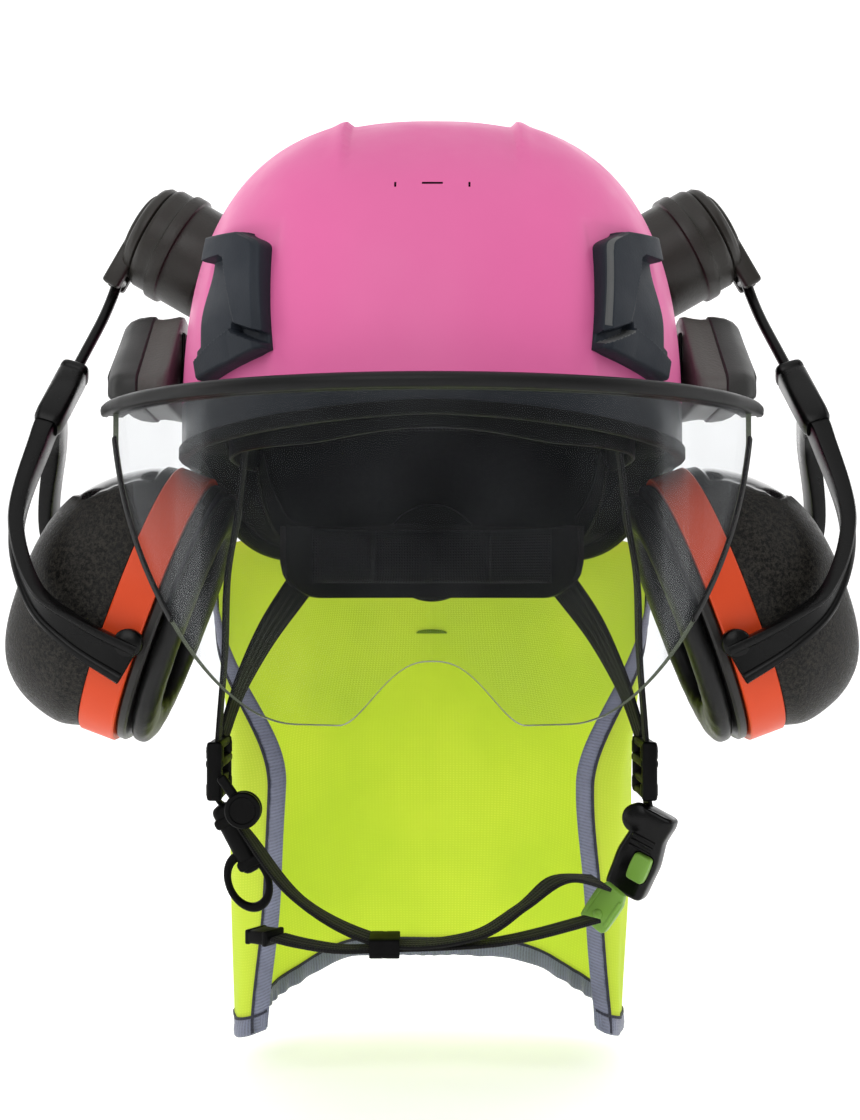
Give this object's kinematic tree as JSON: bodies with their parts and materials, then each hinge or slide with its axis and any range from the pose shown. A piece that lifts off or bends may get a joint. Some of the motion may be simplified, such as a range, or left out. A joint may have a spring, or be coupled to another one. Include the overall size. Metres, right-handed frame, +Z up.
{
  "type": "arborist helmet",
  "caption": "Climbing helmet with a clear tilting visor, hinged ear defenders, chin harness with side buckle and a fabric neck cape.",
  "frame": {"origin": "centre of the head opening at the level of the shell's front rim", "axes": "+X to the wearer's left, -Y to the front, +Z up through the crown"},
  "size_m": [0.3784, 0.3144, 0.4184],
  "materials": {
    "shell": "satin injection-moulded ABS",
    "foam_liner": "moulded black foam",
    "harness_plastic": "fine grain",
    "pad_cloth": "knit over foam",
    "clip_plastic": "spark-eroded grain",
    "visor_plastic": "satin with fine grain",
    "arm_plastic": "satin black",
    "cup_plastic": "speckled black",
    "band_orange": "satin orange",
    "ear_cushion": "soft black film",
    "ear_foam": "open-cell foam",
    "steel_rod": "black coated spring steel",
    "lens": "clear polycarbonate",
    "webbing": "ribbed woven polyester",
    "buckle_plastic": "moulded black acetal",
    "green_plastic": "green acetal",
    "rubber_trim": "soft black",
    "cape_cloth": "hi-vis woven polyester"
  },
  "bodies": {
    "helmet": {"outer_shell": "shell", "inner_liner": "foam_liner", "headband": "harness_plastic", "brow_pad": "pad_cloth", "crown_pad": "pad_cloth", "nape_cradle": "harness_plastic", "dial_housing": "harness_plastic", "nape_pad": "pad_cloth", "rack_left": "harness_plastic", "rack_right": "harness_plastic", "front_clip_left": "clip_plastic", "front_clip_right": "clip_plastic", "rear_clip_left": "clip_plastic", "rear_clip_right": "clip_plastic", "visor_mount_left": "harness_plastic", "visor_mount_right": "harness_plastic", "ear_mount_left": "arm_plastic", "ear_mount_right": "arm_plastic", "strap_anchors": "buckle_plastic", "front_strap_left": "webbing", "front_strap_right": "webbing", "rear_strap_left": "webbing", "rear_strap_right": "webbing", "side_adjuster_left": "buckle_plastic", "side_adjuster_right": "buckle_plastic", "chin_strap": "webbing", "chin_tail": "webbing", "strap_keeper": "buckle_plastic", "tail_tip": "buckle_plastic", "cam_roller": "buckle_plastic", "strap_ring": "rubber_trim", "buckle_body": "buckle_plastic", "buckle_tongue": "green_plastic", "neck_cape": "cape_cloth", "cape_studs": "buckle_plastic"},
    "dial": {"size_dial": "harness_plastic"},
    "button": {"release_button": "green_plastic"},
    "visor": {"visor_frame": "visor_plastic", "visor_lens": "lens", "visor_arm_left": "visor_plastic", "visor_arm_right": "visor_plastic"},
    "ear_arm_left": {"ear_cap_left": "arm_plastic"},
    "ear_rod_left": {"arm_rod_left": "steel_rod"},
    "ear_yoke_left": {"yoke_left": "arm_plastic"},
    "ear_cup_left": {"cup_dome_left": "cup_plastic", "cup_band_left": "band_orange", "cup_base_left": "cup_plastic", "cup_cushion_left": "ear_cushion", "cup_foam_left": "ear_foam"},
    "ear_arm_right": {"ear_cap_right": "arm_plastic"},
    "ear_rod_right": {"arm_rod_right": "steel_rod"},
    "ear_yoke_right": {"yoke_right": "arm_plastic"},
    "ear_cup_right": {"cup_dome_right": "cup_plastic", "cup_band_right": "band_orange", "cup_base_right": "cup_plastic", "cup_cushion_right": "ear_cushion", "cup_foam_right": "ear_foam"}
  },
  "joints": [
    {"name": "fit_dial_turn", "type": "hinge", "parent": "helmet", "child": "dial", "pos_m": [0, 0.1062, -0.046], "axis": [0, 1, 0], "continuous": true},
    {"name": "buckle_release", "type": "slide", "parent": "helmet", "child": "button", "axis": [0, 1, 0], "range_m": [0, 0.0015], "stiffness_N_per_m": 400},
    {"name": "visor_tilt", "type": "hinge", "parent": "helmet", "child": "visor", "pos_m": [0, 0, 0.035], "axis": [-1, 0, 0], "range_deg": [0, 80]},
    {"name": "ear_swing_left", "type": "hinge", "parent": "helmet", "child": "ear_arm_left", "pos_m": [-0.115, 0.03, 0.093], "axis": [0.866, 0, -0.5], "range_deg": [0, 12]},
    {"name": "ear_open_left", "type": "hinge", "parent": "ear_arm_left", "child": "ear_rod_left", "pos_m": [-0.14755, 0.026, 0.08062], "axis": [0, 1, 0], "range_deg": [0, 15]},
    {"name": "ear_height_left", "type": "slide", "parent": "ear_rod_left", "child": "ear_yoke_left", "axis": [-0.2425, -0.5821, -0.7761], "range_m": [0, 0.012]},
    {"name": "cup_tilt_left", "type": "hinge", "parent": "ear_yoke_left", "child": "ear_cup_left", "pos_m": [-0.126, -0.01, -0.087], "axis": [0, -1, 0], "range_deg": [0, 12]},
    {"name": "ear_swing_right", "type": "hinge", "parent": "helmet", "child": "ear_arm_right", "pos_m": [0.115, 0.03, 0.093], "axis": [0.866, 0, 0.5], "range_deg": [0, 12]},
    {"name": "ear_open_right", "type": "hinge", "parent": "ear_arm_right", "child": "ear_rod_right", "pos_m": [0.14755, 0.026, 0.08062], "axis": [0, -1, 0], "range_deg": [0, 15]},
    {"name": "ear_height_right", "type": "slide", "parent": "ear_rod_right", "child": "ear_yoke_right", "axis": [0.2425, -0.5821, -0.7761], "range_m": [0, 0.012]},
    {"name": "cup_tilt_right", "type": "hinge", "parent": "ear_yoke_right", "child": "ear_cup_right", "pos_m": [0.126, -0.01, -0.087], "axis": [0, 1, 0], "range_deg": [0, 12]}
  ]
}
